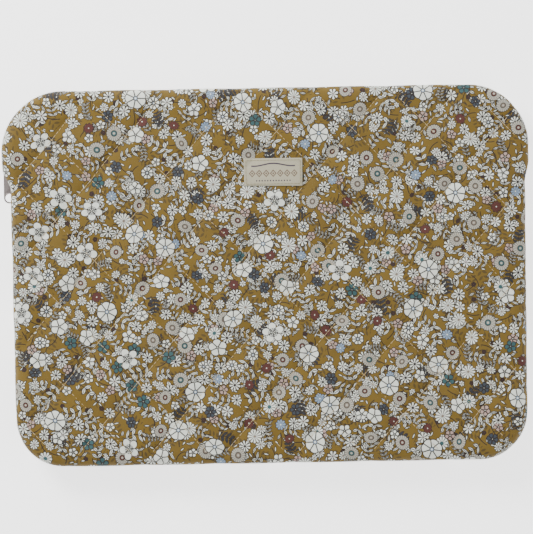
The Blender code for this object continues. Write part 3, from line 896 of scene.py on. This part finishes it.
def swept_faces(count, sides):
    """The faces between a row of rings, and the two caps."""
    faces = []
    for i in range(count - 1):
        for k in range(sides):
            n = (k + 1) % sides
            faces.append((i * sides + k, i * sides + n, (i + 1) * sides + n, (i + 1) * sides + k))
    faces.append(tuple(range(sides))[::-1])
    faces.append(tuple((count - 1) * sides + k for k in range(sides)))
    return faces


def joined(name, pieces):
    """One mesh of many (verts, faces) pieces."""
    verts, faces, base = [], [], 0
    for piece_verts, piece_faces in pieces:
        verts.append(piece_verts)
        faces += [tuple(base + i for i in face) for face in piece_faces]
        base += len(piece_verts)
    return new_mesh(name, np.concatenate(verts), faces)


def inside_margin(x, y, margin):
    """Whether points are inside the outline by a margin."""
    inside = np.abs(y) < HALF_HEIGHT - margin
    inside &= (x > side_x(y, -1) + margin) & (x < side_x(y, 1) - margin)
    for side in (-1, 1):
        for top in (False, True):
            centre, radius = corner(side, top)
            beyond = ((x - centre[0]) * side > 0) & ((y - centre[1]) * (1 if top else -1) > 0)
            inside &= ~beyond | (np.hypot(x - centre[0], y - centre[1]) < radius - margin)
    return inside


def build_stitches():
    """Every stitch of the front's quilting, each a small arch of thread sunk in its valley."""
    arch = np.array([-0.00025, 0.00012, 0.0002, 0.00012, -0.00025])
    pieces = []
    for angle, start, spacing in QUILT_ROWS:
        across = np.array([math.cos(angle), math.sin(angle)])
        along = np.array([-math.sin(angle), math.cos(angle)])
        for k in range(-QUILT_COUNT, QUILT_COUNT + 1):
            for s in np.arange(-QUILT_REACH, QUILT_REACH, STITCH_PITCH):
                t = s + STITCH_LENGTH * np.linspace(0, 1, len(arch))
                line = across[None] * (start + k * spacing) + along[None] * t[:, None]
                line = line - across[None] * row_waver(t, np.full_like(t, k * spacing))[:, None]
                x, y = line.T
                hidden = (label_calm(x, y) < UNDER_LABEL).any()
                if hidden or not inside_margin(x, y, STITCH_MARGIN).all():
                    continue
                z = front_height(x, y) + (arch + STITCH_LIFT)
                pieces.append(tube(np.column_stack([line, z]), STITCH_RADIUS, 5))
    stitches = joined("front_stitches", pieces)
    wear(stitches, THREAD)
    fold(stitches)
    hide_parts("front_quilting")


def band(name, section, start, end):
    """A closed (distance out, height) section carried along a stretch of the outline."""
    at = np.linspace(start, end, int(abs(end - start) / TAPE_STEP))
    place, out = along_outline(at)
    rows = [np.column_stack([place + out * distance, np.full(len(at), height)])
            for distance, height in section]
    verts = np.stack(rows, 1).reshape(-1, 3)
    return new_mesh(name, verts, swept_faces(len(at), len(section)), smooth_shading=False)


def coil(name, start, end, sign, phase):
    """One row of a coil zip: a flattened helix along the outline, above or below the middle."""
    t = np.arange(int((end - start) / COIL_PITCH) * COIL_STEPS) / COIL_STEPS
    place, out = along_outline(start + (t + phase) * COIL_PITCH)
    angle = math.tau * t
    distance = -COIL_INSET + COIL_HALF_DEPTH * np.cos(angle)
    height = MID_Z + sign * (COIL_OFF_MIDDLE + COIL_HALF_HEIGHT * np.sin(angle))
    path = np.column_stack([place + out * distance[:, None], height])
    return new_mesh(name, *tube(path, COIL_WIRE, 6))


def build_zip():
    """The coils, and the front's tape. The back's tape stays the CAD node."""
    right_fold = distance_at_side(1, FOLD_Y + 0.0005)
    left_flap = distance_at(-1, True, 168)
    right_end = distance_at_side(1, CHAIN_END_Y + 0.003)
    left_end = distance_at_side(-1, CHAIN_END_Y + 0.002)
    front = coil("zip_coil_upper", right_fold, left_flap, 1, 0.0)
    back = coil("zip_coil_under", right_end, left_end, -1, 0.5)
    low, high = MID_Z + TAPE_LOW, MID_Z + TAPE_HIGH
    section = [(TAPE_OUTER, low), (TAPE_OUTER, high), (TAPE_INNER, high), (TAPE_INNER, low)]
    tape = band("zip_tape_upper", section, right_fold, left_flap)
    for obj, mat, slot, node in ((front, COIL, "zip_coil", "zip_coil_front"),
                                 (tape, TAPE, "zip_tape", "zip_tape_front")):
        wear(obj, mat)
        fold(obj)
        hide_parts(node)
    wear(back, COIL)
    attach(back, "sleeve_body")
    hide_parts("zip_coil_back")


def tab_outline(inset, steps=24):
    """The pull tab's outline, drawn in by an inset, as points round it."""
    def arc(centre_y, radius, start):
        count = steps // 2 if start == 0 else steps
        return [(TAB_X + radius * math.cos(start + math.pi * i / count),
                 centre_y + radius * math.sin(start + math.pi * i / count)) for i in range(count + 1)]

    def neck(side, share):
        ease = share * share * (3 - 2 * share)
        half = TAB_EYE_RADIUS + (TAB_HALF - TAB_EYE_RADIUS) * ease - inset
        return TAB_X + side * half, TAB_EYE_Y + (TAB_SHOULDER_Y - TAB_EYE_Y) * share

    shares = (0.25, 0.5, 0.75, 1.0)
    return (arc(TAB_EYE_Y, TAB_EYE_RADIUS - inset, 0) + [neck(-1, share) for share in shares]
            + arc(TAB_END_Y, TAB_HALF - inset, math.pi) + [neck(1, share) for share in shares[::-1]])


def circle(x, y, radius, steps):
    angles = [math.tau * i / steps for i in range(steps)]
    return [(x + radius * math.cos(angle), y + radius * math.sin(angle)) for angle in angles]


def filled(name, loops, thickness, bevel):
    """A plate between loops, as a mesh with rounded edges."""
    curve = bpy.data.curves.new(name, "CURVE")
    curve.dimensions = "2D"
    curve.fill_mode = "BOTH"
    curve.extrude = thickness / 2 - bevel
    curve.bevel_depth = bevel
    curve.bevel_resolution = 2
    curve.offset = -bevel
    for loop in loops:
        spline = curve.splines.new("POLY")
        spline.points.add(len(loop) - 1)
        for point, (x, y) in zip(spline.points, loop):
            point.co = (x, y, 0, 1)
        spline.use_cyclic_u = True
    source = add_object(name, curve)
    source.location.z = MID_Z
    bpy.context.view_layer.update()
    depsgraph = bpy.context.evaluated_depsgraph_get()
    mesh = bpy.data.meshes.new_from_object(source.evaluated_get(depsgraph))
    mesh.transform(source.matrix_world)
    bpy.data.objects.remove(source, do_unlink=True)
    bm = bmesh.new()
    bm.from_mesh(mesh)
    bmesh.ops.remove_doubles(bm, verts=bm.verts, dist=1e-6)
    bm.to_mesh(mesh)
    bm.free()
    mesh.shade_smooth()
    mesh.set_sharp_from_angle(angle=math.radians(35))
    return add_object(name, mesh)


def build_tab():
    """The pull tab: a thin plate with a raised rounded rim and a round hole near its end."""
    blade = filled("pull_tab_plate", [tab_outline(0.0003),
                                      circle(TAB_X, TAB_END_Y, TAB_HOLE + 0.0003, 40),
                                      circle(TAB_X, TAB_EYE_Y, TAB_EYE_HOLE, 20)], 0.0009, 0.0001)
    rim = filled("pull_tab_rim", [tab_outline(0.0), tab_outline(0.0008)], 0.0012, 0.0003)
    collar = filled("pull_tab_collar", [circle(TAB_X, TAB_END_Y, TAB_HOLE + 0.0008, 40),
                                        circle(TAB_X, TAB_END_Y, TAB_HOLE, 40)], 0.0012, 0.0002)
    for obj in (blade, rim, collar):
        wear(obj, METAL)
        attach(obj, "tab")
    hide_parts("pull_tab")


def label_material():
    """Ecru linen printed with a plain wave, a row of diamonds and a row of dots."""
    shader = Shader("label_linen", 0.88, sheen=0.05)
    place = shader.place()
    x, y, _ = shader.split(place)
    turn = math.tau / 0.62
    weave = (x * turn).cos() * (y * turn).cos()
    warp = shader.noise(place, 1.4, 4.0, 0.65)
    shade = (weave * 0.22 + warp * 0.9).most(0.0)
    colour = shader.mix(linear(196, 190, 166), linear(150, 143, 118), shade)
    at = Point(x - LABEL_MIDDLE.x * 1000, y - LABEL_MIDDLE.y * 1000)
    worn = warp * 0.5 + 0.75

    step = at.x.wrap(-2.4, 2.4)
    size = abs(step) * 1.15 + abs(at.y + 0.9)
    row = soft(16.8 - abs(at.x))
    diamonds = (soft(2.6 - size) - soft(1.7 - size) + soft(0.8 - size)) * row
    colour = shader.mix(colour, linear(104, 80, 66), diamonds * worn)

    bend = (at.x * (math.tau / 26.0)).cos() * 0.9
    wave = soft(0.45 - abs(at.y - 5.0 - bend)) * soft(15.0 - abs(at.x))
    dot = Point(at.x.wrap(-0.95, 0.95), at.y + 5.9)
    dots = soft(0.5 - dot.length()) * soft(12.3 - abs(at.x))
    colour = shader.mix(colour, linear(52, 38, 62), (wave + dots) * worn)
    return shader.finish(colour, shader.bump(weave * 0.5 + warp, 0.00012, 0.8), warp * 0.14 + 0.8)


def build_label():
    """The label, lying on the padded front, and the stitches round its edge."""
    columns, rows = 60, 30
    half_x, half_y = LABEL_HALF.x, LABEL_HALF.y
    gx, gy = np.meshgrid(np.linspace(-1, 1, columns + 1), np.linspace(-1, 1, rows + 1))
    x = LABEL_MIDDLE.x + gx * half_x * (1 + 0.006 * gy)
    y = LABEL_MIDDLE.y + gy * half_y * (1 + 0.012 * gx) - 0.0002 * gx
    lift = 0.0006 + 0.0003 * (1 - gx ** 4) * (1 - gy ** 4)
    z = front_height(x, y) + lift
    verts = np.stack([x, y, z], -1).reshape(-1, 3)
    label = new_mesh("sewn_label", verts, grid_quads(grid_index(columns, rows)))
    lay_cloth(label, verts[:, :2])
    thicken(label, LABEL_THICKNESS)
    wear(label, label_material())
    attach(label, "sleeve_body")
    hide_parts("label")

    inset, pitch, length, lift, radius = 0.0014, 0.0022, 0.0016, 0.00085, 0.00016
    arch = np.array([-0.0002, 0.00015, 0.0002, 0.00015, -0.0002])
    a, b = half_x - inset, half_y - inset
    corners = np.array([(-a, -b), (a, -b), (a, b), (-a, b)])
    pieces = []
    for start, end in zip(corners, np.roll(corners, -1, axis=0)):
        run = np.linalg.norm(end - start)
        count = int(run / pitch)
        for k in range(count):
            s = (k + 0.15) * run / count + length * np.linspace(0, 1, 5)
            line = start[None] + (end - start)[None] / run * s[:, None]
            line = line + np.array([LABEL_MIDDLE.x, LABEL_MIDDLE.y])[None]
            z = front_height(line[:, 0], line[:, 1]) + lift + arch
            pieces.append(tube(np.column_stack([line, z]), radius, 5))
    stitches = joined("label_stitches", pieces)
    wear(stitches, thread("label_thread", linear(160, 148, 108), linear(118, 106, 72)))
    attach(stitches, "sleeve_body")
    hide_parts("label_stitching")


def dress_cad_nodes():
    """Gives every CAD node that stays in sight, or behind the others, its material."""
    wanted = {
        "back_batting": PADDING, "back_lining": LINING, "seam_binding": LINING,
        "back_quilting": THREAD, "zip_tape_back": TAPE, "zip_top_stop_front": METAL,
        "zip_top_stop_back": METAL, "zip_bottom_stop": METAL, "slider_body": METAL,
        "slider_crown": METAL, "slider_lock_spring": METAL, "connector_link": METAL,
    }
    for name, mat in wanted.items():
        for slot in bpy.data.objects[name].material_slots:
            slot.material = mat


def build_stage():
    """A pale floor, two soft lights, an even surround and a camera straight above."""
    bpy.ops.mesh.primitive_plane_add(size=6.0, location=(0, 0, -0.0002))
    floor = bpy.context.object
    floor.name = "floor"
    shader = Shader("floor_paper", 0.9)
    grain = shader.noise(shader.place("object"), 0.01, 2.0)
    shader.finish(shader.mix(linear(250, 250, 250), linear(244, 244, 244), grain))
    preset(shader.bsdf, Emission_Color=(1, 1, 1, 1), Emission_Strength=2.0)
    wear(floor, shader.material)

    def area(name, place, size, power):
        """A square light that faces the sleeve's middle."""
        light = bpy.data.lights.new(name, "AREA")
        light.energy = power
        light.size = size
        obj = add_object(name, light)
        obj.location = place
        obj.rotation_euler = (-Vector(place)).to_track_quat("-Z", "Y").to_euler()

    area("key", (-0.9, 1.0, 0.9), size=0.6, power=34)
    area("fill", (1.1, -0.6, 1.4), size=1.2, power=8)
    world = bpy.data.worlds.new("studio")
    bpy.context.scene.world = world
    world.use_nodes = True
    preset(world.node_tree.nodes["Background"], Color=(1, 1, 1, 1), Strength=0.75)

    camera = bpy.data.cameras.new("camera")
    camera.sensor_width = 36
    camera.lens = 36 * (CAMERA_PLACE[2] - EDGE_HEIGHT) / VIEW_WIDTH
    obj = add_object("camera", camera)
    obj.location = CAMERA_PLACE
    obj.rotation_euler = (0, 0, math.radians(CAMERA_TURN))
    bpy.context.scene.camera = obj


build_stage()
build_covers()
build_front_inside()
build_stitches()
build_zip()
build_tab()
build_label()
dress_cad_nodes()
